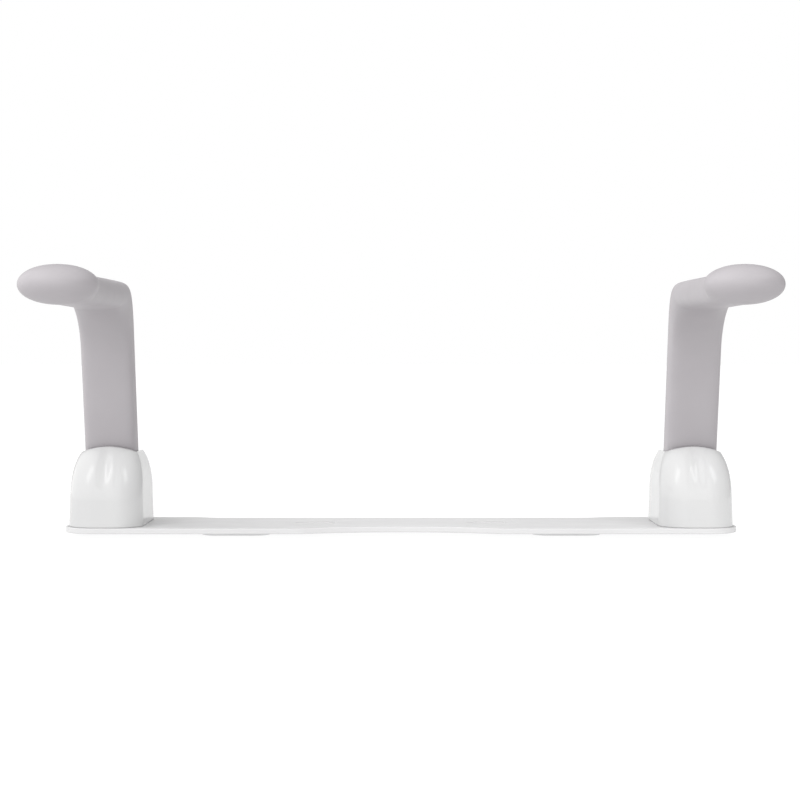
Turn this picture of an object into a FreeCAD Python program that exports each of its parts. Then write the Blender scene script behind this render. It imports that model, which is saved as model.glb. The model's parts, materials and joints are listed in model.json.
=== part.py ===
import FreeCAD, Part
import math
import os
import re

import Sketcher
from FreeCAD import Placement, Rotation, Vector

# A pair of folding support arms for a toilet: a flat base plate that the seat's bolts clamp to the bowl,
# and at each end an arm that folds up on a hinge hidden in a moulded cover.
# Frame: +Z up, the armrests reach towards -Y, and X runs across. The origin is the middle of the two
# seat-bolt slots, on the underside of the base plate. Left and right are the sitting user's: left is +X.

SIZES = {
    # base plate
    "plate_width": 592, "plate_depth": 120, "plate_thickness": 5, "plate_corner": 28, "plate_edge": 0.8,
    "step_outer": 194, "step_inner": 172, "step_depth": 10, "step_round": 30,
    "scoop_reach": 88, "scoop_peak": 34.5, "scoop_radius": 215, "scoop_blend": 20,
    "slot_spacing": 155, "slot_length": 37, "slot_width": 12, "slot_flat": 0.01,
    # rubber pads under the plate
    "pad_spacing": 294, "pad_length": 61, "pad_depth": 66, "pad_thickness": 4, "pad_corner": 14,
    "pad_edge": 1,
    # where each arm stands: heights are above the top of the plate
    "arm_spacing": 520, "pivot_back": 7.5, "pivot_rise": 30, "post_lean": 14,
    # moulded arm: post, bend, neck, waist behind the grip, and the grip with its domed tip
    "post_width": 46.2, "post_depth": 30, "post_start": 26.5, "post_fullness": 0.93,
    "inner_bend": 54.5, "outer_bend": 43.3,
    "neck_rise": 202.8, "neck_width": 50.6, "neck_thickness": 26, "neck_fullness": 0.77,
    "waist_reach": 222, "waist_rise": 202.45, "waist_width": 44, "waist_thickness": 25.3,
    "grip_reach": 269, "grip_rise": 204.3, "grip_width": 61.4, "grip_thickness": 30.8, "grip_fullness": 0.574,
    "tip_length": 25, "bond_gap": 0.05,
    # steel core of the arm
    "tube_radius": 9.5, "tube_wall": 2, "tube_bend": 49, "tube_reach": 245, "socket_start": 12,
    "socket_gap": 0.05, "plug_head": 3, "plug_length": 12,
    "knuckle_width": 35, "knuckle_depth": 28, "knuckle_top": 26, "knuckle_corner": 2, "knuckle_flat": 0.1,
    # hinge
    "pin_radius": 6, "pin_gap": 0.05, "pin_head_radius": 9, "pin_head": 2.5, "pin_overhang": 3,
    "pin_chamfer": 0.6,
    "groove_depth": 0.25, "groove_width": 1.1, "groove_inset": 1, "ring_thickness": 1, "ring_radius": 8.5,
    "bush_radius": 8, "bush_length": 14, "bush_flange": 1.2, "bush_flange_radius": 11.5,
    "washer_thickness": 1,
    # hinge bracket
    "ear_gap": 40, "ear_thickness": 5, "ear_front": 20, "ear_back": 30, "ear_root": 1,
    "ear_bulge": 17, "ear_bulge_rise": 2, "ear_crown": 9, "ear_crown_rise": 16,
    "flange_width": 52, "flange_front": 40, "flange_back": 43, "flange_thickness": 5, "flange_corner": 10,
    "web_top": 24, "web_foot": 22, "web_front": 22.5, "web_thickness": 5.5,
    "stop_gap": 0.3, "stop_height": 16, "stop_drop": 1,
    "buffer_radius": 7, "buffer_back": 19, "buffer_dome": 12,
    # fasteners
    "bolt_radius": 3, "bolt_hole": 3.2, "bolt_head": 6, "bolt_length": 16.5, "nut_flats": 10, "nut_height": 5,
    "bolt_side": 17, "bolt_front": 32, "bolt_back": 36,
    "sink_angle": 45, "drive_size": 0.6, "drive_depth": 0.7,
    "screw_radius": 2, "screw_hole": 2.2, "screw_head": 4, "screw_length": 17,
    "screw_front": 52.5, "screw_back": 50,
    # moulded cover over the hinge
    "cover_half": 32.9, "cover_front": 58.6, "cover_back": 56, "cover_corner": 25, "cover_wall": 2.8,
    "shoulder_rise": 24, "shoulder_draft": 0.75, "dome_rise": 48, "side_inset": 17.9, "side_power": 2.58,
    "front_inset": 44, "front_power": 1.5, "back_inset": 34, "back_power": 2, "corner_inset": 8.6,
    "rim_height": 65.4, "rim_peak": 7.6, "rim_bow": 62, "rim_margin": 5, "cut_margin": 2,
    "opening_gap": 0.6, "opening_side": 0.4, "slot_gap": 1.8, "mouth_low": 20.5, "mouth_high": 80,
    "boss_radius": 4.5, "boss_height": 18, "boss_skin": 2,
}

SIDES = (("left", 1), ("right", -1))
SEAM = 0.001    # sewing tolerance
FLAT = 0.01     # an edge this low counts as level

doc = FreeCAD.newDocument("ToiletSupportArms")
sheet = doc.addObject("Spreadsheet::Sheet", "sizes")
for row, (alias, number) in enumerate(SIZES.items(), start=1):
    sheet.set(f"A{row}", alias)
    sheet.set(f"B{row}", str(number))
    sheet.setAlias(f"B{row}", alias)
doc.recompute()


# ---------------------------------------------------------------- formulas, sketches and features

def bound(formula):
    """The formula with each of the sheet's names spelled out for the expression engine."""
    return re.sub(r"[a-z_]+", lambda word: f"sizes.{word[0]}" if word[0] in SIZES else word[0], formula)


def value(formula):
    return float(sheet.evalExpression(bound(formula)))


def bind(thing, **formulas):
    """Bind properties of an object to formulas; a double underscore stands for a dot."""
    for name, formula in formulas.items():
        thing.setExpression(name.replace("__", "."), bound(formula))


def place(thing, position, turn=None):
    thing.Placement = Placement(Vector(*[value(part) for part in position]), turn or Rotation())
    for axis, formula in zip("xyz", position):
        thing.setExpression(f"Placement.Base.{axis}", bound(formula))
    return thing


def new_body(label):
    body = doc.addObject("PartDesign::Body", label)
    body.Label = label
    return body


def new_sketch(body, name, plane, offset="0"):
    """A sketch on one of the body's own origin planes, moved along that plane's normal."""
    sketch = body.newObject("Sketcher::SketchObject", name)
    support = [item for item in body.Origin.OriginFeatures if item.Role == plane][0]
    sketch.AttachmentSupport = [(support, "")]
    sketch.MapMode = "FlatFace"
    sketch.setExpression("AttachmentOffset.Base.z", bound(offset))
    return sketch


def pin_point(sketch, geometry, position, x, y):
    """Hold one point of the sketch at the formulas x and y."""
    for kind, formula in (("DistanceX", x), ("DistanceY", y)):
        index = sketch.addConstraint(Sketcher.Constraint(kind, -1, 1, geometry, position, value(formula)))
        sketch.setExpression(f"Constraints[{index}]", bound(formula))


def set_radius(sketch, geometry, formula):
    index = sketch.addConstraint(Sketcher.Constraint("Radius", geometry, value(formula)))
    sketch.setExpression(f"Constraints[{index}]", bound(formula))


def outline(sketch, corners):
    """A closed outline through corners (x, y) or (x, y, rounding radius), all of them formulas."""
    spots = [Vector(value(corner[0]), value(corner[1]), 0) for corner in corners]
    count = len(corners)
    arrivals, departures, arcs = [], [], []
    for number, corner in enumerate(corners):
        spot = spots[number]
        back = (spots[number - 1] - spot).normalize()
        ahead = (spots[(number + 1) % count] - spot).normalize()
        if len(corner) < 3:
            arrivals.append(spot)
            departures.append(spot)
            arcs.append(None)
            continue
        radius = value(corner[2])
        half = back.getAngle(ahead) / 2
        arrive = spot + back * (radius / math.tan(half))
        depart = spot + ahead * (radius / math.tan(half))
        centre = spot + (back + ahead).normalize() * (radius / math.sin(half))
        middle = centre + (spot - centre).normalize() * radius
        arrivals.append(arrive)
        departures.append(depart)
        arcs.append(Part.Arc(arrive, middle, depart))
    lines = []
    for number in range(count):
        segment = Part.LineSegment(departures[number], arrivals[(number + 1) % count])
        lines.append(sketch.addGeometry(segment, False))
    for number, corner in enumerate(corners):
        before, after = lines[number - 1], lines[number]
        if arcs[number] is None:
            sketch.addConstraint(Sketcher.Constraint("Coincident", before, 2, after, 1))
            pin_point(sketch, after, 1, corner[0], corner[1])
            continue
        bend = sketch.addGeometry(arcs[number], False)
        start, end = sketch.getPoint(bend, 1), sketch.getPoint(bend, 2)
        arrival = arrivals[number]
        in_order = start.distanceToPoint(arrival) < end.distanceToPoint(arrival)
        first, last = (1, 2) if in_order else (2, 1)
        sketch.addConstraint(Sketcher.Constraint("Tangent", before, 2, bend, first))
        sketch.addConstraint(Sketcher.Constraint("Tangent", bend, last, after, 1))
        set_radius(sketch, bend, corner[2])
        tip = sketch.addGeometry(Part.Point(spots[number]), True)
        sketch.addConstraint(Sketcher.Constraint("PointOnObject", tip, 1, before))
        sketch.addConstraint(Sketcher.Constraint("PointOnObject", tip, 1, after))
        pin_point(sketch, tip, 1, corner[0], corner[1])
    return sketch


def circles(sketch, centres, radius):
    for x, y in centres:
        circle = Part.Circle(Vector(value(x), value(y), 0), Vector(0, 0, 1), value(radius))
        geometry = sketch.addGeometry(circle, False)
        pin_point(sketch, geometry, 3, x, y)
        set_radius(sketch, geometry, radius)
    return sketch


def feature(body, kind, name, **settings):
    item = body.newObject(f"PartDesign::{kind}", name)
    for key, setting in settings.items():
        setattr(item, key, setting)
    return item


def extrude(body, kind, name, sketch, length, middle=False, reverse=False):
    """A Pad or a Pocket of a sketch, over a length or to both sides of its plane."""
    item = feature(body, kind, name, Profile=sketch, Midplane=middle, Reversed=reverse)
    item.setExpression("Length", bound(length))
    return item


def cutting(body, kind, name, sketch, length, **options):
    """A Pocket that must take something away from the body."""
    doc.recompute()
    before = body.Shape.Volume
    item = extrude(body, kind, name, sketch, length, **options)
    doc.recompute()
    if body.Shape.Volume > before - 1:
        raise RuntimeError(f"{body.Label}: {name} cuts nothing")
    return item


def primitive(kind, name, **formulas):
    thing = doc.addObject(f"Part::{kind}", name)
    bind(thing, **formulas)
    return thing


def cylinder_along_x(name, radius, length, x, y="0", z="0"):
    rod = primitive("Cylinder", name, Radius=radius, Height=length)
    return place(rod, (x, y, z), Rotation(Vector(0, 1, 0), 90))


def boolean(kind, name, base, tool):
    item = doc.addObject(f"Part::{kind}", name)
    item.Base = base
    item.Tool = tool
    return item


def group(label, pieces):
    """Identical loose pieces that share one node."""
    item = doc.addObject("Part::Compound", label)
    item.Label = label
    item.Links = pieces
    return item


# ---------------------------------------------------------------- shared positions

def arm_x(sign):
    return f"{sign} * arm_spacing / 2"


def along_post(along, ahead):
    """Y and Z of a point at a distance along the post from the pivot and ahead of its centre line."""
    y = f"pivot_back - ({along}) * sin(post_lean) - ({ahead}) * cos(post_lean)"
    z = f"plate_thickness + pivot_rise + ({along}) * cos(post_lean) - ({ahead}) * sin(post_lean)"
    return y, z


LEAN = Rotation(Vector(1, 0, 0), value("post_lean"))
PIVOT_Y, PIVOT_Z = "pivot_back", "plate_thickness + pivot_rise"
BOLT_SPOTS = [(f"{side} * bolt_side", spot) for side in (-1, 1) for spot in ("-bolt_front", "bolt_back")]
SCREW_SPOTS = [("0", "-screw_front"), ("0", "screw_back")]


# ---------------------------------------------------------------- base plate and its pads

def base_plate():
    body = new_body("base_plate")
    right_half = [
        ("plate_width / 2", "-plate_depth / 2", "plate_corner"),
        ("plate_width / 2", "plate_depth / 2", "plate_corner"),
        ("step_outer", "plate_depth / 2", "step_round"),
        ("step_inner", "plate_depth / 2 - step_depth", "step_round"),
    ]
    mirrored = [(f"-({x})", y, radius) for x, y, radius in reversed(right_half)]
    scoop = [
        ("-scoop_reach", "-plate_depth / 2", "scoop_blend"),
        ("0", "scoop_peak - plate_depth / 2", "scoop_radius"),
        ("scoop_reach", "-plate_depth / 2", "scoop_blend"),
    ]
    sheet_outline = outline(new_sketch(body, "plate_outline", "XY_Plane"), right_half + mirrored + scoop)
    slab = extrude(body, "Pad", "plate_slab", sheet_outline, "plate_thickness")
    doc.recompute()
    rims = [f"Edge{number}" for number, edge in enumerate(slab.Shape.Edges, start=1)
            if edge.BoundBox.ZLength < FLAT]
    feature(body, "Fillet", "plate_rims", Base=(slab, rims)).setExpression("Radius", bound("plate_edge"))

    slots = new_sketch(body, "seat_bolt_slots", "XY_Plane")
    for side in (-1, 1):
        left = f"{side} * slot_spacing / 2 - slot_length / 2"
        right = f"{side} * slot_spacing / 2 + slot_length / 2"
        outline(slots, [(left, "-slot_width / 2", "slot_width / 2 - slot_flat"),
                        (right, "-slot_width / 2", "slot_width / 2 - slot_flat"),
                        (right, "slot_width / 2", "slot_width / 2 - slot_flat"),
                        (left, "slot_width / 2", "slot_width / 2 - slot_flat")])
    cutting(body, "Pocket", "seat_bolt_slot_cut", slots, "plate_thickness", reverse=True)

    for name, spots, hole, head in (("bolt", BOLT_SPOTS, "bolt_hole", "bolt_head"),
                                    ("screw", SCREW_SPOTS, "screw_hole", "screw_head")):
        centres = [(f"{arm_x(sign)} + {x}", y) for _, sign in SIDES for x, y in spots]
        drill = circles(new_sketch(body, f"{name}_drilling", "XY_Plane"), centres, hole)
        cutting(body, "Pocket", f"{name}_holes", drill, "plate_thickness", reverse=True)
        sink = circles(new_sketch(body, f"{name}_sinking", "XY_Plane"), centres, head)
        cone = extrude(body, "Pocket", f"{name}_sinks", sink, f"{head} - {hole}", reverse=True)
        cone.TaperAngle = -value("sink_angle")
    return body


def bowl_pad(side, sign):
    body = new_body(f"{side}_bowl_pad")
    half, deep = "pad_length / 2", "pad_depth / 2"
    corners = [(f"{x} * {half}", f"{y} * {deep}", "pad_corner")
               for x, y in ((-1, -1), (1, -1), (1, 1), (-1, 1))]
    face = outline(new_sketch(body, f"{side}_pad_outline", "XY_Plane"), corners)
    slab = extrude(body, "Pad", f"{side}_pad_slab", face, "pad_thickness", reverse=True)
    doc.recompute()
    lower = [f"Edge{number}" for number, edge in enumerate(slab.Shape.Edges, start=1)
             if edge.BoundBox.ZMax < -FLAT]
    round_off = feature(body, "Fillet", f"{side}_pad_round", Base=(slab, lower))
    round_off.setExpression("Radius", bound("pad_edge"))
    return place(body, (f"{sign} * pad_spacing / 2", "0", "0"))


# ---------------------------------------------------------------- hinge bracket and its fasteners

def hinge_bracket(side, sign):
    """A steel bracket: a flange on the plate, two ears for the pin, and a web that the arm leans on."""
    body = new_body(f"{side}_hinge_bracket")
    top, half = "plate_thickness + flange_thickness", "flange_width / 2"
    foot = [(f"{x} * {half}", y, "flange_corner")
            for x, y in ((-1, "-flange_front"), (1, "-flange_front"), (1, "flange_back"), (-1, "flange_back"))]
    flange = outline(new_sketch(body, f"{side}_flange_outline", "XY_Plane", "plate_thickness"), foot)
    extrude(body, "Pad", f"{side}_flange", flange, "flange_thickness")

    back_top = along_post("web_top", "web_front - web_thickness")
    front_top = along_post("web_top", "web_front")
    ear = new_sketch(body, f"{side}_ear_outline", "YZ_Plane", "ear_gap / 2")
    outline(ear, [("-ear_front", f"{top} - ear_root"), ("ear_back", f"{top} - ear_root"),
                  ("pivot_back + ear_bulge", f"{PIVOT_Z} + ear_bulge_rise", "pin_head_radius"),
                  ("pivot_back + ear_crown", f"{PIVOT_Z} + ear_crown_rise", "pin_head_radius"),
                  back_top, front_top])
    ear_pad = extrude(body, "Pad", f"{side}_ear", ear, "ear_thickness")
    doc.recompute()
    mirror_plane = [item for item in body.Origin.OriginFeatures if item.Role == "YZ_Plane"][0]
    twin = feature(body, "Mirrored", f"{side}_ear_twin", Originals=[ear_pad],
                   MirrorPlane=(mirror_plane, [""]))
    body.Tip = twin
    doc.recompute()

    web = new_sketch(body, f"{side}_web_outline", "YZ_Plane")
    outline(web, [along_post("-web_foot", "web_front - web_thickness"), back_top, front_top,
                  along_post("-web_foot", "web_front")])
    extrude(body, "Pad", f"{side}_web", web, "ear_gap + ear_root", middle=True)
    pivot = circles(new_sketch(body, f"{side}_pivot_circle", "YZ_Plane"), [(PIVOT_Y, PIVOT_Z)],
                    "pin_radius + pin_gap")
    cutting(body, "Pocket", f"{side}_pivot_hole", pivot, "flange_width", middle=True)
    drill = circles(new_sketch(body, f"{side}_flange_drilling", "XY_Plane"), BOLT_SPOTS, "bolt_hole")
    cutting(body, "Pocket", f"{side}_flange_holes", drill, f"{top} + cut_margin", reverse=True)
    return place(body, (arm_x(sign), "0", "0"))


def sunk_screw(name, x, y, radius, head, length):
    """A countersunk screw that points up, its head flush with the underside of the plate."""
    cone = primitive("Cone", f"{name}_head", Radius1=head, Radius2=radius, Height=f"{head} - {radius}")
    shank = primitive("Cylinder", f"{name}_shank", Radius=radius, Height=length)
    drive = primitive("Prism", f"{name}_drive", Circumradius=f"{radius} * drive_size",
                      Height=f"{radius} * drive_depth")
    drive.Polygon = 6
    for piece in (cone, shank, drive):
        place(piece, (x, y, "0"))
    return boolean("Cut", name, boolean("Fuse", f"{name}_blank", cone, shank), drive)


def bracket_bolts(side, sign):
    bolts = []
    for number, (x, y) in enumerate(BOLT_SPOTS, start=1):
        spot = f"{arm_x(sign)} + {x}"
        bolts.append(sunk_screw(f"{side}_bolt_{number}", spot, y, "bolt_radius", "bolt_head", "bolt_length"))
    return group(f"{side}_bracket_bolts", bolts)


def bracket_nuts(side, sign):
    nuts = []
    for number, (x, y) in enumerate(BOLT_SPOTS, start=1):
        spot = (f"{arm_x(sign)} + {x}", y, "plate_thickness + flange_thickness")
        hexagon = primitive("Prism", f"{side}_nut_{number}_hexagon",
                            Circumradius="nut_flats / sqrt(3)", Height="nut_height")
        hexagon.Polygon = 6
        bore = primitive("Cylinder", f"{side}_nut_{number}_bore",
                         Radius="bolt_radius + pin_gap", Height="nut_height")
        nuts.append(boolean("Cut", f"{side}_nut_{number}", place(hexagon, spot), place(bore, spot)))
    return group(f"{side}_bracket_nuts", nuts)


def cover_screws(side, sign):
    screws = []
    for number, (x, y) in enumerate(SCREW_SPOTS, start=1):
        spot = f"{arm_x(sign)} + {x}"
        screws.append(sunk_screw(f"{side}_screw_{number}", spot, y,
                                 "screw_radius", "screw_head", "screw_length"))
    return group(f"{side}_cover_screws", screws)


def front_stop(side, sign):
    """A thin cushion on the web: the lowered arm leans on it."""
    thickness = "web_front - web_thickness - knuckle_depth / 2 - stop_gap"
    cushion = primitive("Box", f"{side}_front_stop", Length="knuckle_width", Width=thickness,
                        Height="stop_height")
    cushion.Label = f"{side}_front_stop"
    y, z = along_post("web_top - stop_height - stop_drop", "web_front - web_thickness")
    return place(cushion, (f"{arm_x(sign)} - knuckle_width / 2", y, z), LEAN)


def rear_buffer(side, sign):
    """A round-topped rubber buffer on the flange: the folded arm comes to rest on it."""
    x, y = arm_x(sign), "pivot_back + buffer_back"
    reach = "knuckle_depth / 2 + buffer_dome + stop_gap"
    centre = f"plate_thickness + pivot_rise + buffer_back * tan(post_lean) - ({reach}) / cos(post_lean)"
    foot = "plate_thickness + flange_thickness"
    column = primitive("Cylinder", f"{side}_buffer_column", Radius="buffer_radius", Height="2 * buffer_dome")
    place(column, (x, y, foot))
    dome = place(primitive("Sphere", f"{side}_buffer_dome", Radius="buffer_dome"), (x, y, centre))
    buffer = boolean("Common", f"{side}_rear_buffer", dome, column)
    buffer.Label = f"{side}_rear_buffer"
    return buffer


# ---------------------------------------------------------------- hinge pin, bushes and washers

def pivot_pin(side, sign):
    """A headed pin across the ears, its head on the outer side and a groove for the ring at the other end."""
    body = new_body(f"{side}_pivot_pin")
    outer = "ear_gap / 2 + ear_thickness"
    groove = f"{outer} + groove_inset"
    end = f"{outer} + pin_overhang"
    waist = "pin_radius - groove_depth"
    profile = new_sketch(body, f"{side}_pin_profile", "XY_Plane")
    outline(profile, [(f"{outer} + pin_head", "0"), (f"{outer} + pin_head", "pin_head_radius"),
                      (outer, "pin_head_radius"), (outer, "pin_radius"),
                      (f"-({groove})", "pin_radius"), (f"-({groove})", waist),
                      (f"-({groove} + groove_width)", waist), (f"-({groove} + groove_width)", "pin_radius"),
                      (f"-({end}) + pin_chamfer", "pin_radius"),
                      (f"-({end})", "pin_radius - pin_chamfer"), (f"-({end})", "0")])
    feature(body, "Revolution", f"{side}_pin_turning", Profile=profile, ReferenceAxis=(profile, ["H_Axis"]))
    turn = Rotation(Vector(0, 0, 1), 0 if sign > 0 else 180)
    return place(body, (arm_x(sign), PIVOT_Y, PIVOT_Z), turn)


def pin_ring(side, sign):
    """The open retaining ring in the pin's groove."""
    inner = "ear_gap / 2 + ear_thickness + groove_inset + (groove_width - ring_thickness) / 2"
    start = f"{arm_x(sign)} - {sign} * ({inner}) - ring_thickness * {1 if sign > 0 else 0}"
    disc = cylinder_along_x(f"{side}_ring_disc", "ring_radius", "ring_thickness", start, PIVOT_Y, PIVOT_Z)
    hole = cylinder_along_x(f"{side}_ring_hole", "pin_radius - groove_depth", "ring_thickness",
                            start, PIVOT_Y, PIVOT_Z)
    mouth = primitive("Box", f"{side}_ring_mouth", Length="ring_thickness", Width="pin_radius",
                      Height="ring_radius")
    place(mouth, (start, f"{PIVOT_Y} - pin_radius / 2", PIVOT_Z))
    ring = boolean("Cut", f"{side}_pin_ring", boolean("Cut", f"{side}_ring_blank", disc, hole), mouth)
    ring.Label = f"{side}_pin_ring"
    return ring


def hinge_bushes(side, sign):
    """Two flanged plastic bushes, pressed into the knuckle from its two sides."""
    bushes = []
    for number, way in enumerate((-1, 1), start=1):
        face = f"{arm_x(sign)} + {way} * knuckle_width / 2"
        sleeve_start = f"{face} - {1 if way > 0 else 0} * bush_length"
        flange_start = f"{face} - {0 if way > 0 else 1} * bush_flange"
        sleeve = cylinder_along_x(f"{side}_bush_{number}_sleeve", "bush_radius", "bush_length",
                                  sleeve_start, PIVOT_Y, PIVOT_Z)
        flange = cylinder_along_x(f"{side}_bush_{number}_flange", "bush_flange_radius", "bush_flange",
                                  flange_start, PIVOT_Y, PIVOT_Z)
        bore = cylinder_along_x(f"{side}_bush_{number}_bore", "pin_radius + pin_gap", "bush_length + bush_flange",
                                f"{sleeve_start} - {0 if way > 0 else 1} * bush_flange", PIVOT_Y, PIVOT_Z)
        blank = boolean("Fuse", f"{side}_bush_{number}_blank", sleeve, flange)
        bushes.append(boolean("Cut", f"{side}_bush_{number}", blank, bore))
    return group(f"{side}_hinge_bushes", bushes)


def thrust_washers(side, sign):
    washers = []
    for number, way in enumerate((-1, 1), start=1):
        start = f"{arm_x(sign)} + {way} * ear_gap / 2 - {1 if way > 0 else 0} * washer_thickness"
        disc = cylinder_along_x(f"{side}_washer_{number}_disc", "bush_flange_radius", "washer_thickness",
                                start, PIVOT_Y, PIVOT_Z)
        hole = cylinder_along_x(f"{side}_washer_{number}_hole", "pin_radius + pin_gap", "washer_thickness",
                                start, PIVOT_Y, PIVOT_Z)
        washers.append(boolean("Cut", f"{side}_washer_{number}", disc, hole))
    return group(f"{side}_thrust_washers", washers)


# ---------------------------------------------------------------- arm core

def knuckle(side, sign):
    """The steel block that turns on the pin; the arm's tube is welded into its socket."""
    body = new_body(f"{side}_knuckle")
    half = "knuckle_depth / 2"
    side_view = new_sketch(body, f"{side}_knuckle_outline", "YZ_Plane")
    outline(side_view, [(half, "knuckle_top", "knuckle_corner"),
                        (f"-{half}", "knuckle_top", "knuckle_corner"),
                        (f"-{half}", f"-{half}", f"{half} - knuckle_flat"),
                        (half, f"-{half}", f"{half} - knuckle_flat")])
    extrude(body, "Pad", f"{side}_knuckle_block", side_view, "knuckle_width", middle=True)
    bore = circles(new_sketch(body, f"{side}_bore_circle", "YZ_Plane"), [("0", "0")], "bush_radius")
    cutting(body, "Pocket", f"{side}_knuckle_bore", bore, "knuckle_width + cut_margin", middle=True)
    mouth = circles(new_sketch(body, f"{side}_socket_circle", "XY_Plane", "knuckle_top"), [("0", "0")],
                    "tube_radius + socket_gap")
    cutting(body, "Pocket", f"{side}_tube_socket", mouth, "knuckle_top - socket_start")
    return place(body, (arm_x(sign), PIVOT_Y, PIVOT_Z), LEAN)


def arm_path():
    """The arm's centre line in the plane x = 0: up the leaning post, round the bend and forwards."""
    lean = math.radians(value("post_lean"))
    up, ahead = Vector(0, -math.sin(lean), math.cos(lean)), Vector(0, -math.cos(lean), -math.sin(lean))
    return {"pivot": Vector(0, value(PIVOT_Y), value(PIVOT_Z)), "up": up, "ahead": ahead,
            "forwards": Vector(0, -1, 0), "turn": math.pi / 2 - lean}


def bend_line(path, ahead, height, radius):
    """Control points of an arc from the post, at a distance ahead of its centre line, to a level line."""
    foot = path["pivot"] + path["ahead"] * ahead
    corner = foot + path["up"] * ((height - foot.z) / path["up"].z)
    tangent = radius * math.tan(path["turn"] / 2)
    handle = radius * math.tan(path["turn"] / 4) * 4 / 3
    return [corner - path["up"] * tangent, corner - path["up"] * (tangent - handle),
            corner + path["forwards"] * (tangent - handle), corner + path["forwards"] * tangent]


def round_bar(radius, reach):
    """A round bar along the arm's path, from the foot of the socket to a reach along the armrest."""
    path = arm_path()
    foot = path["pivot"] + path["up"] * value("socket_start")
    line = bend_line(path, 0, value("plate_thickness + neck_rise"), value("tube_bend"))
    start, end = line[0], line[3]
    post = Part.makeCylinder(radius, foot.distanceToPoint(start), foot, path["up"])
    disc = Part.Face(Part.Wire(Part.makeCircle(radius, start, path["up"])))
    centre = start + path["ahead"] * value("tube_bend")
    bend = disc.revolve(centre, Vector(1, 0, 0), math.degrees(path["turn"]))
    rest = Part.makeCylinder(radius, reach + end.y, end, path["forwards"])
    return post.fuse([bend, rest]).removeSplitter()


def solid_part(label, shape, sign):
    """A part whose shape follows the arm's path, which no sketched feature holds exactly."""
    item = doc.addObject("Part::Feature", label)
    item.Label = label
    item.Shape = shape
    return place(item, (arm_x(sign), "0", "0"))


def arm_tube(side, sign):
    outside = round_bar(value("tube_radius"), value("tube_reach"))
    inside = round_bar(value("tube_radius - tube_wall"), value("tube_reach"))
    return solid_part(f"{side}_arm_tube", outside.cut(inside), sign)


def tube_plug(side, sign):
    """The plastic plug that closes the tube's front end under the moulding."""
    spot = (arm_x(sign), "-tube_reach", "plate_thickness + neck_rise")
    forwards = Rotation(Vector(1, 0, 0), 90)
    head = primitive("Cylinder", f"{side}_plug_head", Radius="tube_radius", Height="plug_head")
    neck = primitive("Cylinder", f"{side}_plug_neck", Radius="tube_radius - tube_wall - bond_gap",
                     Height="plug_length + plug_head")
    place(head, spot, forwards)
    place(neck, (spot[0], "plug_length - tube_reach", spot[2]), forwards)
    plug = boolean("Fuse", f"{side}_tube_plug", head, neck)
    plug.Label = f"{side}_tube_plug"
    return plug


# ---------------------------------------------------------------- moulded armrest

def section(front, back, half_width, fullness, scale=1.0):
    """Control points of the four quarters of a flat oval between a front point and a back point."""
    centre, across, upwards = (front + back) / 2, Vector(half_width, 0, 0) * scale, (back - front) / 2 * scale
    quarters = []
    for one, other in ((across, upwards), (upwards, -across), (-across, -upwards), (-upwards, across)):
        quarters.append([centre + one, centre + one + other * fullness,
                         centre + one * fullness + other, centre + other])
    return quarters


def patches(sections):
    """Faces through four sections, taken as the rows of control points of one smooth stretch."""
    faces = []
    for rows in zip(*sections):
        surface = Part.BezierSurface()
        surface.increase(3, 3)
        for row, points in enumerate(rows, start=1):
            for column, point in enumerate(points, start=1):
                surface.setPole(row, column, point)
        faces.append(surface.toShape())
    return faces


def stretch(first, last):
    """Sections that lead smoothly from one level section to the next one further forwards."""
    lines = []
    for start, end in zip(first[:2], last[:2]):
        third = Vector(0, (end.y - start.y) / 3, 0)
        lines.append((start, start + third, end - third, end))
    half_widths, fullnesses = (first[2], first[2], last[2], last[2]), (first[3], first[3], last[3], last[3])
    return [section(*row) for row in zip(*lines, half_widths, fullnesses)]


def level_section(name):
    """Front and back points, half width and fullness of the section at the waist or at the grip."""
    y, middle = value(f"-{name}_reach"), value(f"plate_thickness + {name}_rise")
    half, fullness = value(f"{name}_thickness / 2"), "neck" if name == "waist" else name
    return (Vector(0, y, middle - half), Vector(0, y, middle + half), value(f"{name}_width / 2"),
            value(f"{fullness}_fullness"))


def armrest(side, sign):
    """One moulding: flat-oval post, bend, neck with a waist, and a grip that swells to a domed ellipse."""
    path = arm_path()
    half_depth, middle = value("post_depth / 2"), value("plate_thickness + neck_rise")
    half_neck = value("neck_thickness / 2")
    fronts = bend_line(path, half_depth, middle - half_neck, value("inner_bend"))
    backs = bend_line(path, -half_depth, middle + half_neck, value("outer_bend"))
    post = (value("post_width / 2"), value("post_fullness"))
    neck = (value("neck_width / 2"), value("neck_fullness"))
    bend = [section(front, back, *size) for front, back, size in zip(fronts, backs, (post, post, neck, neck))]

    foot = path["pivot"] + path["up"] * value("post_start")
    front, back = foot + path["ahead"] * half_depth, foot - path["ahead"] * half_depth
    thirds = [number / 3 for number in range(4)]
    upright = [section(front + (fronts[0] - front) * third, back + (backs[0] - back) * third, *post)
               for third in thirds]
    waist, grip = level_section("waist"), level_section("grip")
    tip, fullness = Vector(0, -value("tip_length"), 0), grip[3]
    dome = [section(grip[0] + tip * reach, grip[1] + tip * reach, grip[2], fullness, scale)
            for reach, scale in ((0, 1), (fullness, 1), (1, fullness), (1, 0))]
    faces = patches(upright) + patches(bend) + patches(stretch((fronts[3], backs[3], *neck), waist))
    faces += patches(stretch(waist, grip)) + patches(dome)
    edges = []
    for points in upright[0]:
        curve = Part.BezierCurve()
        curve.setPoles(points)
        edges.append(curve.toShape())
    faces.append(Part.Face(Part.Wire(edges)))
    skin = Part.makeCompound(faces)
    skin.sewShape(SEAM)
    outside = Part.makeSolid(skin.Shells[0])
    core = round_bar(value("tube_radius + bond_gap"), value("tube_reach + plug_head + bond_gap"))
    return solid_part(f"{side}_armrest", outside.cut(core), sign)


# ---------------------------------------------------------------- moulded cover

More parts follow.
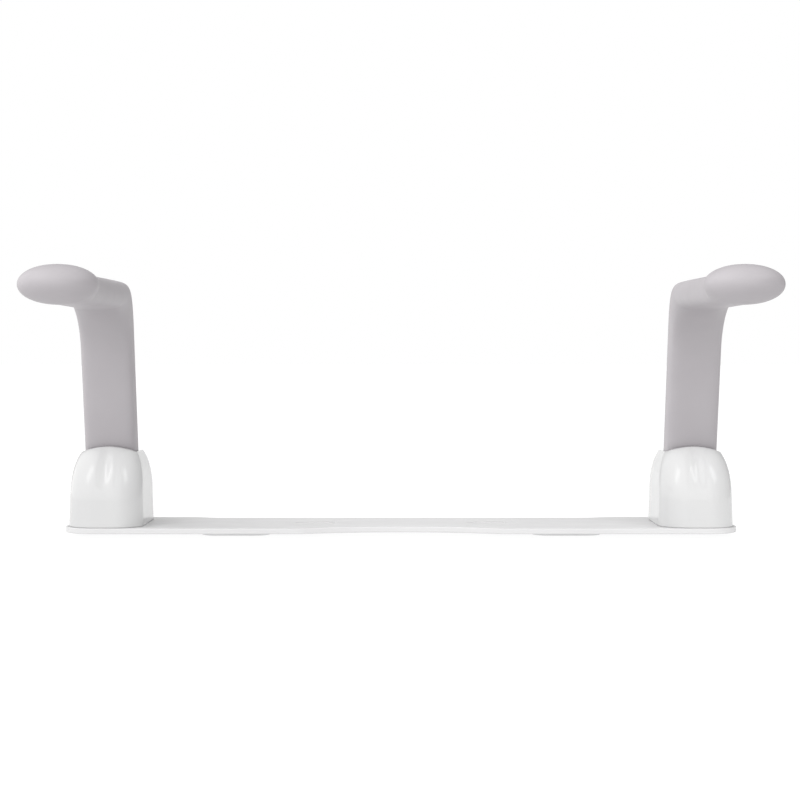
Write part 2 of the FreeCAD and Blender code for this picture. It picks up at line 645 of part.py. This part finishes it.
def cover_section(body, name, angle, inset):
    """One level of the cover's outline; the angle runs up the shoulders, each side with its own power."""
    def shrink(power):
        return f"(1 - sqrt(1 - sin({angle})^{power}))"

    half = f"cover_half - shoulder_draft - side_inset * {shrink('side_power')} - {inset}"
    front = f"cover_front - shoulder_draft - front_inset * {shrink('front_power')} - {inset}"
    back = f"cover_back - shoulder_draft - back_inset * {shrink('back_power')} - {inset}"
    corner = f"cover_corner - corner_inset * {shrink('back_power')} - {inset}"
    level = f"plate_thickness + shoulder_rise + (dome_rise - {inset}) * sin({angle})"
    sketch = new_sketch(body, name, "XY_Plane", level)
    return outline(sketch, [(f"-({half})", f"-({front})", corner), (half, f"-({front})", corner),
                            (half, back, corner), (f"-({half})", back, corner)])


def cover_foot(body, name, share, inset):
    """One level of the straight part below the shoulders; the share of its height runs from 0 to 1."""
    draft = f"shoulder_draft * {share}"
    half, corner = f"cover_half - {draft} - {inset}", f"cover_corner - {inset}"
    front, back = f"cover_front - {draft} - {inset}", f"cover_back - {draft} - {inset}"
    sketch = new_sketch(body, name, "XY_Plane", f"plate_thickness + shoulder_rise * {share}")
    return outline(sketch, [(f"-({half})", f"-({front})", corner), (half, f"-({front})", corner),
                            (half, back, corner), (f"-({half})", back, corner)])


def boot_cover(side, sign):
    """A white moulded boot, open below, with a mouth for the post and a slot behind for the folded arm."""
    body = new_body(f"{side}_boot_cover")
    for kind, word, inset, angles in (("AdditiveLoft", "outer", "0", (0, 13, 27, 41, 55, 67, 78)),
                                      ("SubtractiveLoft", "inner", "cover_wall", (0, 13, 27, 41, 55, 68))):
        feet = [cover_foot(body, f"{side}_{word}_foot_{step}", step * 0.25, inset) for step in range(4)]
        levels = [cover_section(body, f"{side}_{word}_level_{angle}", angle, inset) for angle in angles]
        rows = feet + levels
        feature(body, kind, f"{side}_{word}_skin", Profile=rows[0], Sections=rows[1:], Ruled=False)
        doc.recompute()

    trim = new_sketch(body, f"{side}_rim_outline", "XZ_Plane")
    edge, above = "plate_thickness + rim_height", "plate_thickness + 2 * rim_height"
    outline(trim, [("-cover_half - rim_margin", edge), ("-post_width / 2", edge),
                   ("0", f"{edge} + rim_peak", "rim_bow"), ("post_width / 2", edge),
                   ("cover_half + rim_margin", edge), ("cover_half + rim_margin", above),
                   ("-cover_half - rim_margin", above)])
    cutting(body, "Pocket", f"{side}_rim_trim", trim, "3 * cover_front", middle=True)

    mouth = new_sketch(body, f"{side}_mouth_outline", "YZ_Plane")
    ahead, behind = "post_depth / 2 + opening_gap", "post_depth / 2 + slot_gap"
    front_low, front_high = along_post("mouth_low", ahead), along_post("mouth_high", ahead)
    fold_y = f"pivot_back + {{0}} * cos(post_lean) + ({behind}) * sin(post_lean)"
    fold_z = f"plate_thickness + pivot_rise + {{0}} * sin(post_lean) - ({behind}) * cos(post_lean)"
    outline(mouth, [front_high, front_low, (fold_y.format("mouth_low"), fold_z.format("mouth_low")),
                    (fold_y.format("mouth_high"), fold_z.format("mouth_high")),
                    (fold_y.format("mouth_high"), front_high[1])])
    cutting(body, "Pocket", f"{side}_mouth", mouth, "post_width + 2 * opening_side", middle=True)

    for word, kind, radius in (("boss", "Pad", "boss_radius"), ("pilot", "Pocket", "screw_radius + pin_gap")):
        ring = circles(new_sketch(body, f"{side}_{word}_circles", "XY_Plane", "plate_thickness"),
                       SCREW_SPOTS, radius)
        height = "boss_height" if kind == "Pad" else "boss_height - boss_skin"
        extrude(body, kind, f"{side}_{word}", ring, height, reverse=kind == "Pocket")
        doc.recompute()
    return place(body, (arm_x(sign), "0", "0"))


# ---------------------------------------------------------------- the whole assembly

parts = [base_plate()]
for side, sign in SIDES:
    for build in (bowl_pad, hinge_bracket, bracket_bolts, bracket_nuts, front_stop, rear_buffer, pivot_pin,
                  pin_ring, thrust_washers, hinge_bushes, knuckle, arm_tube, tube_plug, armrest,
                  boot_cover, cover_screws):
        parts.append(build(side, sign))
doc.recompute()

for item in doc.Objects:
    if "Invalid" in item.State or "Error" in item.State:
        raise RuntimeError(f"{item.Label} failed: {item.State}")
for part in parts:
    if part.Shape.isNull() or not part.Shape.isValid():
        raise RuntimeError(f"{part.Label} has no valid shape")

os.makedirs("parts", exist_ok=True)
for part in parts:
    part.Shape.exportStep(f"parts/{part.Label}.step")
    box = part.Shape.BoundBox
    print(f"{part.Label:24s} solids {len(part.Shape.Solids)} volume {part.Shape.Volume / 1000:9.2f} cm3 "
          f"x {box.XMin:.1f}..{box.XMax:.1f} y {box.YMin:.1f}..{box.YMax:.1f} z {box.ZMin:.1f}..{box.ZMax:.1f}")
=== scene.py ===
import json
import math

import bmesh
import bpy
import numpy as np
import openvdb
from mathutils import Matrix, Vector

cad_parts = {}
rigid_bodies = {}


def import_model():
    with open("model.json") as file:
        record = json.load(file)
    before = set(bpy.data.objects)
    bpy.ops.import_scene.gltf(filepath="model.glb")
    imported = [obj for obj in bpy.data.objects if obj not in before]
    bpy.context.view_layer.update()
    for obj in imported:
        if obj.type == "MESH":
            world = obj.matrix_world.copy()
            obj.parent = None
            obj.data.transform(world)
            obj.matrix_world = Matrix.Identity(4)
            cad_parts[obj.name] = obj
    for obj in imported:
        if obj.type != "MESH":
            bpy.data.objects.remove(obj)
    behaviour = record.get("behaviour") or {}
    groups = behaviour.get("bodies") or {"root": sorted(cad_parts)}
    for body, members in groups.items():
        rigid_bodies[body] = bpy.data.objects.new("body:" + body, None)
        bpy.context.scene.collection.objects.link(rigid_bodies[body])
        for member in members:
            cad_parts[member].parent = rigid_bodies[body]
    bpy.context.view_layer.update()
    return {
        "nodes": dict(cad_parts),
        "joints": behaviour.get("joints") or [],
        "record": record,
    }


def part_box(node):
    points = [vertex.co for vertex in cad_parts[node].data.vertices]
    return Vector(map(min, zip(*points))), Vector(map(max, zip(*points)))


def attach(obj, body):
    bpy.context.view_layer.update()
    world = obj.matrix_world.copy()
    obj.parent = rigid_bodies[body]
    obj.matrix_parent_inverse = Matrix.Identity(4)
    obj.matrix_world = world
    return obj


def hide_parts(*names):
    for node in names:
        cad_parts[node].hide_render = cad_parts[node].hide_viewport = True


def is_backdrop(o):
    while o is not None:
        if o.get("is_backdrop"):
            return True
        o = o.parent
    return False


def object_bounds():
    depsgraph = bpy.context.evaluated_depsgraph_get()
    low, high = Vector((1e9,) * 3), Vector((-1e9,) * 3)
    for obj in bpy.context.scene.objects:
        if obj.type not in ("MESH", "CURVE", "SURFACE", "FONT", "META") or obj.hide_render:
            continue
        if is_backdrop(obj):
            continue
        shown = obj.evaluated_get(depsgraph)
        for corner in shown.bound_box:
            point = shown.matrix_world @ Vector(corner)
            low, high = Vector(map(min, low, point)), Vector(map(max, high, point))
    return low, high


# Toilet support arms: the CAD's hidden hinge parts keep their meshes and get finished materials.
# The two armrests and the two boot covers, which are free-form mouldings, are built here as smooth meshes.

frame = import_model()
nodes = frame["nodes"]
scene = bpy.context.scene

MM = 0.001
SIDES = ("left", "right")
PIVOT = {side: Vector(joint["pos_m"]) for side in SIDES for joint in frame["joints"]
         if joint["name"] == f"{side}_arm_fold"}
PLATE_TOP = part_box("base_plate")[1].z
LEAN = math.radians(14)     # of the posts, towards the front
TINY = 1e-9


# ---------------------------------------------------------------- mesh helpers

WELD = 1e-6    # vertices this close become one


def mesh_object(name, vertices, faces, body, smooth=True):
    mesh = bpy.data.meshes.new(name)
    mesh.from_pydata([tuple(v) for v in vertices], [], [tuple(f) for f in faces])
    mesh.validate()
    if smooth:
        mesh.shade_smooth()
    piece = bpy.data.objects.new(name, mesh)
    scene.collection.objects.link(piece)
    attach(piece, body)
    return piece


def outward(piece):
    """Turn every face of a closed mesh outwards."""
    work = bmesh.new()
    work.from_mesh(piece.data)
    bmesh.ops.remove_doubles(work, verts=work.verts, dist=WELD)
    bmesh.ops.recalc_face_normals(work, faces=work.faces)
    work.to_mesh(piece.data)
    work.free()
    piece.data.shade_smooth()


# ---------------------------------------------------------------- armrest

# A section is an oval of four cubic curves; its fullness is the handles' share of the way to the corner.
POST_START, POST_DEPTH = 26.5 * MM, 30 * MM
POST = (23.1 * MM, 0.93)    # half width and fullness
NECK = (25.3 * MM, 0.77)
WAIST = (22.0 * MM, 0.77)
GRIP_FULLNESS = 0.574
INNER_BEND, OUTER_BEND = 54.5 * MM, 43.3 * MM
NECK_RISE, NECK_THICKNESS = 202.8 * MM, 26 * MM
WAIST_REACH, WAIST_RISE, WAIST_THICKNESS = 222 * MM, 202.45 * MM, 25.3 * MM
GRIP_THICKNESS = 30.8 * MM
TIP_LENGTH = 25 * MM
FOOT_EDGE = 1.2 * MM    # rounding of the post's lower rim
FOOT_STEPS = 4
BEND_STEPS = 44
STEPS_AROUND = 26       # per quarter of the section
RING_GAP = 2.0 * MM


def quarter_point(share, across, up, fullness):
    """A point of a quarter section, share 0 on its across side and 1 on its upper side."""
    a, b, c, d = (1 - share) ** 3, 3 * share * (1 - share) ** 2, 3 * share ** 2 * (1 - share), share ** 3
    return across * (a + b + c * fullness) + up * (b * fullness + c + d)


def ring(across, up, fullness):
    """Offsets of one whole section from its centre."""
    points = []
    for one, other in ((across, up), (up, -across), (-across, -up), (-up, across)):
        points += [quarter_point(step / STEPS_AROUND, one, other, fullness) for step in range(STEPS_AROUND)]
    return points


def cap_grid(outline, place):
    """Vertices and faces of a square patch whose rim is the given ring; place(offset, share) puts a point."""
    count = STEPS_AROUND
    vertices = []
    for row in range(count + 1):
        for column in range(count + 1):
            a, b = 2 * column / count - 1, 2 * row / count - 1
            share = max(abs(a), abs(b))
            if share < TINY:
                vertices.append(place(Vector((0, 0, 0)), 0.0))
                continue
            a, b = a / share, b / share
            if b <= -1 + TINY:
                position = (a + 1) / 2
            elif a >= 1 - TINY:
                position = 1 + (b + 1) / 2
            elif b >= 1 - TINY:
                position = 2 + (1 - a) / 2
            else:
                position = 3 + (1 - b) / 2
            spot = (position * count) % (4 * count)
            low = int(math.floor(spot + WELD))
            blend = spot - low
            rim = outline[low % (4 * count)].lerp(outline[(low + 1) % (4 * count)], max(0.0, blend))
            vertices.append(place(rim, share))
    faces = []
    for row in range(count):
        for column in range(count):
            first = row * (count + 1) + column
            faces.append((first, first + 1, first + count + 2, first + count + 1))
    return vertices, faces


def bend_line(pivot, up, ahead, offset, height, radius):
    """Control points of an arc from the post, at an offset ahead of its middle, to a level line."""
    foot = pivot + ahead * offset
    corner = foot + up * ((height - foot.z) / up.z)
    turn = math.pi / 2 - LEAN
    tangent, handle = radius * math.tan(turn / 2), radius * math.tan(turn / 4) * 4 / 3
    forwards = Vector((0, -1, 0))
    return [corner - up * tangent, corner - up * (tangent - handle),
            corner + forwards * (tangent - handle), corner + forwards * tangent]


def straight(start, end):
    """Control points of a line that leaves and arrives level."""
    third = Vector((0, (end.y - start.y) / 3, 0))
    return [start, start + third, end - third, end]


def along_curve(points, share):
    """A point of the cubic curve with four control points."""
    rest = 1 - share
    return (points[0] * rest ** 3 + points[1] * (3 * share * rest ** 2)
            + points[2] * (3 * share ** 2 * rest) + points[3] * share ** 3)


def sweep(fronts, backs, first, last, count):
    """Rings along a front line and a back line, between two ovals; the first ring is left out."""
    rings = []
    for step in range(1, count + 1):
        share = step / count
        blend = share * share * (3 - 2 * share)
        half, fullness = (one + (other - one) * blend for one, other in zip(first, last))
        front, back = along_curve(fronts, share), along_curve(backs, share)
        hub, lift = (front + back) / 2, (back - front) / 2
        rings.append([hub + offset for offset in ring(Vector((half, 0, 0)), lift, fullness)])
    return rings


def armrest(side):
    """Post, bend, neck and grip as one moulding, closed by a flat foot and a domed tip."""
    pivot = PIVOT[side]
    rest_low, rest_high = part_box(f"{side}_armrest")
    grip = ((rest_high.x - rest_low.x) / 2, GRIP_FULLNESS)
    up = Vector((0, -math.sin(LEAN), math.cos(LEAN)))
    ahead = Vector((0, -math.cos(LEAN), -math.sin(LEAN)))
    half_depth = POST_DEPTH / 2
    middle = PLATE_TOP + NECK_RISE
    fronts = bend_line(pivot, up, ahead, half_depth, middle - NECK_THICKNESS / 2, INNER_BEND)
    backs = bend_line(pivot, up, ahead, -half_depth, middle + NECK_THICKNESS / 2, OUTER_BEND)
    foot = pivot + up * POST_START

    rings = []
    for step in range(FOOT_STEPS + 1):
        angle = math.pi / 2 * step / FOOT_STEPS
        shrink = FOOT_EDGE * (1 - math.sin(angle))
        section = ring(Vector((POST[0] - shrink, 0, 0)), ahead * (shrink - half_depth), POST[1])
        rings.append([foot + up * (FOOT_EDGE * (1 - math.cos(angle))) + offset for offset in section])
    ledge = foot + up * FOOT_EDGE
    low_front, low_back = ledge + ahead * half_depth, ledge - ahead * half_depth
    rise = (fronts[0] - low_front) / 3, (backs[0] - low_back) / 3
    count = int(rise[0].length * 3 / RING_GAP)
    rings += sweep([low_front + rise[0] * number for number in range(4)],
                   [low_back + rise[1] * number for number in range(4)], POST, POST, count)
    rings += sweep(fronts, backs, POST, NECK, BEND_STEPS)
    waist = [Vector((pivot.x, -WAIST_REACH, PLATE_TOP + WAIST_RISE + sign * WAIST_THICKNESS / 2))
             for sign in (-1, 1)]
    count = int((fronts[3].y + WAIST_REACH) / RING_GAP)
    rings += sweep(straight(fronts[3], waist[0]), straight(backs[3], waist[1]), NECK, WAIST, count)
    top = rest_high.z
    grips = [Vector((pivot.x, rest_low.y + TIP_LENGTH, height)) for height in (top - GRIP_THICKNESS, top)]
    count = int((waist[0].y - grips[0].y) / RING_GAP)
    rings += sweep(straight(waist[0], grips[0]), straight(waist[1], grips[1]), WAIST, grip, count)

    size = 4 * STEPS_AROUND
    vertices = [point for row in rings for point in row]
    faces = []
    for row in range(len(rings) - 1):
        for column in range(size):
            ahead_column = (column + 1) % size
            faces.append((row * size + column, row * size + ahead_column,
                          (row + 1) * size + ahead_column, (row + 1) * size + column))
    tip_ring = ring(Vector((grip[0], 0, 0)), (grips[1] - grips[0]) / 2, GRIP_FULLNESS)
    foot_ring = [point - foot for point in rings[0]]
    front = (grips[0] + grips[1]) / 2

    def on_tip(offset, share):
        angle = share * math.pi / 2
        return front + offset * math.sin(angle) + Vector((0, -TIP_LENGTH * math.cos(angle), 0))

    def on_foot(offset, share):
        return foot + offset * share

    for rim, place in ((tip_ring, on_tip), (foot_ring, on_foot)):
        more, patch = cap_grid(rim, place)
        faces += [tuple(index + len(vertices) for index in face) for face in patch]
        vertices += more
    piece = mesh_object(f"{side}_armrest_moulding", vertices, faces, f"{side}_arm")
    outward(piece)
    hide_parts(f"{side}_armrest")
    return piece


# ---------------------------------------------------------------- boot cover
# A field of distances in millimetres, negative inside the moulding, from the middle of its foot on the plate.

COVER = {"half": 32.9, "front": 58.6, "back": 56.0, "corner": 25.0, "wall": 2.8, "draft": 0.75,
         "shoulder": 24.0, "dome": 48.0,
         "side_inset": 17.9, "side_power": 2.58, "front_inset": 44.0, "front_power": 1.5,
         "back_inset": 34.0, "back_power": 2, "corner_inset": 8.6,
         "rim": 65.4, "rim_bow": 4.2, "post_half": 23.1,
         "mouth_half": 23.5, "mouth_front": 15.6, "mouth_below": 16.8,
         "boss_radius": 4.5, "boss_height": 18.0, "boss_front": 52.5, "boss_back": 50.0,
         "pilot_radius": 2.05, "pilot_height": 16.0,
         "flute_depth": 2.1, "flute_width": 4.6, "flute_low": 30, "flute_growth": 18,
         "flute_high": 74, "flute_fade": 8,
         "edge": 1.5, "mouth_edge": 3.0, "inner_edge": 0.4, "fine_edge": 0.3}
DOME_END = 0.9995     # the dome stops this far up, where its slope would be level
VOXEL = 0.75
BAND = 3              # voxels of distance kept on each side of the skin
FIELD_LOW = np.array([-36.0, -61.5, -3.0])
FIELD_HIGH = np.array([36.0, 59.0, 75.0])
SETTLE_ROUNDS = 4     # times the mesh is moved onto the exact skin
SETTLE_STEP = 0.3
SLOPE_STEP = 0.01
LEAST_SLOPE = 0.05


def soft_max(a, b, reach):
    """The larger of two fields, with the edge between them rounded."""
    near = np.maximum(reach - np.abs(a - b), 0.0) / reach
    return np.maximum(a, b) + near * near * reach / 4


def rounded_box(x, y, half, front, back, corner):
    """Distance to an upright box with round corners, seen from above."""
    across = np.abs(x) - (half - corner)
    along = np.abs(y - (back - front) / 2) - ((front + back) / 2 - corner)
    outside = np.hypot(np.maximum(across, 0), np.maximum(along, 0))
    return outside + np.minimum(np.maximum(across, along), 0) - corner


def skin(x, y, z, inset):
    """The outer surface of the boot, or its inner one at an inset."""
    c = COVER
    rise = np.clip((z - c["shoulder"]) / (c["dome"] - inset), 0, DOME_END)
    side, front, back = (1 - np.sqrt(1 - rise ** c[power])
                         for power in ("side_power", "front_power", "back_power"))
    draft = c["draft"] * np.clip(z / c["shoulder"], 0, 1)
    return rounded_box(x, y, c["half"] - draft - c["side_inset"] * side - inset,
                       c["front"] - draft - c["front_inset"] * front - inset,
                       c["back"] - draft - c["back_inset"] * back - inset,
                       c["corner"] - c["corner_inset"] * back - inset)


def cover_field(x, y, z, pivot_y, pivot_z):
    """A shell with a flute in front, a mouth for the leaning post, a bowed rim and two screw bosses."""
    c = COVER
    outer = skin(x, y, z, 0.0)
    fade = (np.clip((z - c["flute_low"]) / c["flute_growth"], 0, 1)
            * np.clip((c["flute_high"] - z) / c["flute_fade"], 0, 1))
    flute = c["flute_depth"] * fade * fade * (3 - 2 * fade) * np.exp(-(x / c["flute_width"]) ** 2) * (y < 0)
    outer = outer + flute
    inner = skin(x, y, z, c["wall"])
    ahead = -(y - pivot_y) * math.cos(LEAN) - (z - pivot_z) * math.sin(LEAN)
    along = -(y - pivot_y) * math.sin(LEAN) + (z - pivot_z) * math.cos(LEAN)
    mouth = soft_max(soft_max(np.abs(x) - c["mouth_half"], ahead - c["mouth_front"], c["mouth_edge"]),
                     -along - c["mouth_below"], c["mouth_edge"])
    rim = c["rim"] + c["rim_bow"] * np.clip(1 - (x / c["post_half"]) ** 2, 0, 1)
    shell = soft_max(outer, -inner, c["inner_edge"])
    boss = np.minimum(np.hypot(x, y - c["boss_back"]), np.hypot(x, y + c["boss_front"]))
    pillar = np.maximum(np.maximum(boss - c["boss_radius"], z - c["boss_height"]), outer)
    shell = np.minimum(shell, pillar)
    shell = soft_max(shell, -np.maximum(boss - c["pilot_radius"], z - c["pilot_height"]), c["fine_edge"])
    shell = soft_max(shell, -mouth, c["edge"])
    shell = soft_max(shell, z - rim, c["edge"])
    return soft_max(shell, -z, c["fine_edge"])


def boot_cover(side):
    """The zero surface of the field as quads, each point then settled onto it along the slope."""
    pivot = PIVOT[side]
    pivot_y, pivot_z = pivot.y / MM, (pivot.z - PLATE_TOP) / MM
    counts = np.ceil((FIELD_HIGH - FIELD_LOW) / VOXEL).astype(int)
    axes = [FIELD_LOW[k] + VOXEL * np.arange(counts[k]) for k in range(3)]
    x, y, z = np.meshgrid(*axes, indexing="ij")
    field = cover_field(x, y, z, pivot_y, pivot_z) / VOXEL
    grid = openvdb.FloatGrid(background=float(BAND))
    grid.copyFromArray(np.clip(field, -BAND, BAND).astype(np.float32))
    points, quads = grid.convertToQuads(isovalue=0.0)
    points = FIELD_LOW + points.astype(float) * VOXEL
    for _ in range(SETTLE_ROUNDS):
        value = cover_field(*points.T, pivot_y, pivot_z)
        slope = np.stack([(cover_field(*(points + step).T, pivot_y, pivot_z)
                           - cover_field(*(points - step).T, pivot_y, pivot_z)) / (2 * SLOPE_STEP)
                          for step in np.eye(3) * SLOPE_STEP], axis=1)
        length = np.maximum((slope ** 2).sum(axis=1), LEAST_SLOPE)
        move = -(value / length)[:, None] * slope
        points += np.clip(move, -SETTLE_STEP, SETTLE_STEP)
    points = points * MM + np.array([pivot.x, 0.0, PLATE_TOP])
    piece = mesh_object(f"{side}_boot_shell", points, quads, "base")
    outward(piece)
    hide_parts(f"{side}_boot_cover")
    return piece


# ---------------------------------------------------------------- materials

def noise_texture(tree, scale, detail=2.0):
    """Noise in the object's own metres."""
    place = tree.nodes.new("ShaderNodeTexCoord")
    noise = tree.nodes.new("ShaderNodeTexNoise")
    noise.inputs["Scale"].default_value = scale
    noise.inputs["Detail"].default_value = detail
    tree.links.new(place.outputs["Object"], noise.inputs["Vector"])
    return noise


def new_material(name, color, roughness, metallic=0.0):
    material = bpy.data.materials.new(name)
    material.use_nodes = True
    shader = material.node_tree.nodes["Principled BSDF"]
    shader.inputs["Base Color"].default_value = (*color, 1)
    shader.inputs["Roughness"].default_value = roughness
    shader.inputs["Metallic"].default_value = metallic
    return material, shader


def grain(material, shader, scale, strength, distance, detail=3.0):
    """A fine bump over the whole surface."""
    tree = material.node_tree
    noise = noise_texture(tree, scale, detail)
    bump = tree.nodes.new("ShaderNodeBump")
    bump.inputs["Strength"].default_value = strength
    bump.inputs["Distance"].default_value = distance
    tree.links.new(noise.outputs["Fac"], bump.inputs["Height"])
    tree.links.new(bump.outputs["Normal"], shader.inputs["Normal"])


def vary(material, shader, socket, scale, low, high):
    """Small uneven changes of a number over the surface."""
    tree = material.node_tree
    noise = noise_texture(tree, scale, 4.0)
    spread = tree.nodes.new("ShaderNodeMapRange")
    for name, number in (("From Min", 0.3), ("From Max", 0.7), ("To Min", low), ("To Max", high)):
        spread.inputs[name].default_value = number
    tree.links.new(noise.outputs["Fac"], spread.inputs["Value"])
    tree.links.new(spread.outputs["Result"], shader.inputs[socket])


def tint(material, shader, scale, low, high):
    """Small uneven changes of the colour over the surface."""
    tree = material.node_tree
    noise = noise_texture(tree, scale)
    ramp = tree.nodes.new("ShaderNodeValToRGB")
    for element, position, color in zip(ramp.color_ramp.elements, (0.35, 0.65), (low, high)):
        element.position = position
        element.color = (*color, 1)
    tree.links.new(noise.outputs["Fac"], ramp.inputs["Fac"])
    tree.links.new(ramp.outputs["Color"], shader.inputs["Base Color"])


def moulding_grey():
    material, shader = new_material("moulded_grey", (0.38, 0.36, 0.375), 0.5)
    tint(material, shader, 30, (0.375, 0.355, 0.371), (0.387, 0.367, 0.383))
    vary(material, shader, "Roughness", 60, 0.46, 0.54)
    grain(material, shader, 2600, 0.12, 0.00006)
    return material


def gloss_white():
    material, shader = new_material("gloss_white", (0.52, 0.52, 0.52), 0.16)
    shader.inputs["Specular IOR Level"].default_value = 0.35
    tint(material, shader, 25, (0.515, 0.515, 0.517), (0.525, 0.525, 0.525))
    vary(material, shader, "Roughness", 40, 0.14, 0.18)
    grain(material, shader, 180, 0.05, 0.00005, 1.0)
    return material


def powder_white():
    material, shader = new_material("powder_white", (0.56, 0.557, 0.56), 0.45)
    tint(material, shader, 20, (0.555, 0.552, 0.555), (0.566, 0.563, 0.566))
    vary(material, shader, "Roughness", 50, 0.4, 0.5)
    grain(material, shader, 900, 0.15, 0.00008, 2.0)
    return material


def rubber(name, color):
    material, shader = new_material(name, color, 0.75)
    vary(material, shader, "Roughness", 80, 0.68, 0.85)
    grain(material, shader, 1500, 0.3, 0.0001)
    return material


def steel(name, color, roughness):
    material, shader = new_material(name, color, roughness, 1.0)
    vary(material, shader, "Roughness", 120, roughness * 0.8, roughness * 1.25)
    grain(material, shader, 1200, 0.1, 0.00005)
    return material


def plastic(name, color, roughness):
    material, shader = new_material(name, color, roughness)
    vary(material, shader, "Roughness", 90, roughness * 0.9, roughness * 1.1)
    grain(material, shader, 1200, 0.1, 0.00005)
    return material


MATERIALS = {
    "grip_grey": moulding_grey(),
    "cover_white": gloss_white(),
    "plate_white": powder_white(),
    "pad_rubber": rubber("pale_rubber", (0.72, 0.72, 0.72)),
    "buffer_rubber": rubber("black_rubber", (0.03, 0.03, 0.03)),
    "zinc_steel": steel("zinc_plated_steel", (0.6, 0.61, 0.63), 0.35),
    "screw_steel": steel("screw_steel", (0.58, 0.58, 0.6), 0.3),
    "pin_steel": steel("ground_steel", (0.66, 0.66, 0.67), 0.2),
    "spring_steel": steel("spring_steel", (0.2, 0.2, 0.22), 0.35),
    "bush_plastic": plastic("bush_plastic", (0.72, 0.7, 0.62), 0.45),
    "plug_plastic": plastic("plug_plastic", (0.06, 0.06, 0.06), 0.5),
}


def paint(piece, slot):
    piece.data.materials.clear()
    piece.data.materials.append(MATERIALS[slot])


# ---------------------------------------------------------------- floor, light and camera

SKY = (0.3, 1.75)    # radiance on the far right and towards the main light
OVERHEAD = 1.0
BACKDROP = 1.0
FLOOR_HALF = 30.0
CAMERA_DISTANCE, CAMERA_SIDE, CAMERA_RISE = 1.704, -0.0009, 0.150
CAMERA_TILT = 1.33    # degrees downwards
SENSOR_MM, LENS_MM, FAR_CLIP = 36, 85.2, 100
# position, point that it faces, width, height, radiance
SOFTBOXES = {
    "left_softbox": ((-2.1, -1.6, 3.1), (0, 0, 0.1), 1.0, 1.8, 3.8),
    "right_softbox": ((2.3, -1.5, 3.1), (0, 0, 0.1), 1.0, 1.8, 3.8),
    "white_fill": ((1.7, -1.5, 0.5), (0, 0, 0.03), 1.2, 0.8, 4.0),
}


def studio():
    """A bright sky towards the main light, overhead and behind the object, and a white floor."""
    world = bpy.data.worlds.new("studio")
    scene.world = world
    world.use_nodes = True
    tree = world.node_tree
    sky = tree.nodes["Background"]
    sky.inputs["Color"].default_value = (1, 1, 1, 1)
    place = tree.nodes.new("ShaderNodeTexCoord")

    def toward(direction, start, end, low, high):
        """A smooth step of brightness towards a direction, by the cosine of the angle to it."""
        cosine = tree.nodes.new("ShaderNodeVectorMath")
        cosine.operation = "DOT_PRODUCT"
        cosine.inputs[1].default_value = Vector(direction).normalized()
        spread = tree.nodes.new("ShaderNodeMapRange")
        spread.interpolation_type = "SMOOTHSTEP"
        for name, number in (("From Min", start), ("From Max", end), ("To Min", low), ("To Max", high)):
            spread.inputs[name].default_value = number
        tree.links.new(place.outputs["Generated"], cosine.inputs[0])
        tree.links.new(cosine.outputs["Value"], spread.inputs["Value"])
        return spread.outputs["Result"]

    light = toward((-0.7, -0.5, 0.0), -0.25, 0.3, *SKY)
    for other in (toward((0.1, 0, 1), 0.45, 0.9, 0.0, OVERHEAD),
                  toward((0, 1, 0.03), 0.9, 0.96, 0.0, BACKDROP)):
        brighter = tree.nodes.new("ShaderNodeMath")
        brighter.operation = "MAXIMUM"
        tree.links.new(light, brighter.inputs[0])
        tree.links.new(other, brighter.inputs[1])
        light = brighter.outputs[0]
    tree.links.new(light, sky.inputs["Strength"])

    low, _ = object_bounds()
    corners = [(x * FLOOR_HALF, y * FLOOR_HALF, low.z) for x, y in ((-1, -1), (1, -1), (1, 1), (-1, 1))]
    floor = mesh_object("floor", corners, [(0, 1, 2, 3)], "base", smooth=False)
    floor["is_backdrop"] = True
    material, shader = new_material("pale_floor", (0.12, 0.12, 0.12), 0.9)
    shader.inputs["Specular IOR Level"].default_value = 0.2
    shader.inputs["Emission Color"].default_value = (1, 1, 1, 1)
    shader.inputs["Emission Strength"].default_value = 0.9
    floor.data.materials.append(material)


def softbox(name):
    position, target, width, height, radiance = SOFTBOXES[name]
    light = bpy.data.lights.new(name, "AREA")
    light.shape = "RECTANGLE"
    light.size, light.size_y = width, height
    light.energy = radiance * width * height * math.pi
    lamp = bpy.data.objects.new(name, light)
    lamp.location = position
    lamp.rotation_euler = (Vector(target) - Vector(position)).to_track_quat("-Z", "Y").to_euler()
    scene.collection.objects.link(lamp)
    return lamp


def camera():
    lens = bpy.data.cameras.new("camera")
    lens.sensor_width = SENSOR_MM
    lens.lens = LENS_MM
    lens.clip_end = FAR_CLIP
    eye = bpy.data.objects.new("camera", lens)
    eye.location = (CAMERA_SIDE, -CAMERA_DISTANCE, PLATE_TOP + CAMERA_RISE)
    eye.rotation_euler = (math.radians(90 - CAMERA_TILT), 0, 0)
    scene.collection.objects.link(eye)
    scene.camera = eye


def light_the_whites(fill):
    """The fill reaches only the covers and the plate, and shows in no reflection."""
    fill.visible_glossy = False
    whites = bpy.data.collections.new("whites")
    for piece in scene.objects:
        if piece.name.endswith("boot_shell") or piece.name == "base_plate":
            whites.objects.link(piece)
    fill.light_linking.receiver_collection = whites


camera()
for side in SIDES:
    paint(armrest(side), "grip_grey")
    paint(boot_cover(side), "cover_white")
slots = {entry["node"]: entry["material_slot"] for entry in frame["record"]["subparts"]}
for name, node in nodes.items():
    paint(node, slots[name])
studio()
lamps = {name: softbox(name) for name in SOFTBOXES}
light_the_whites(lamps["white_fill"])
scene.view_settings.view_transform = "Standard"
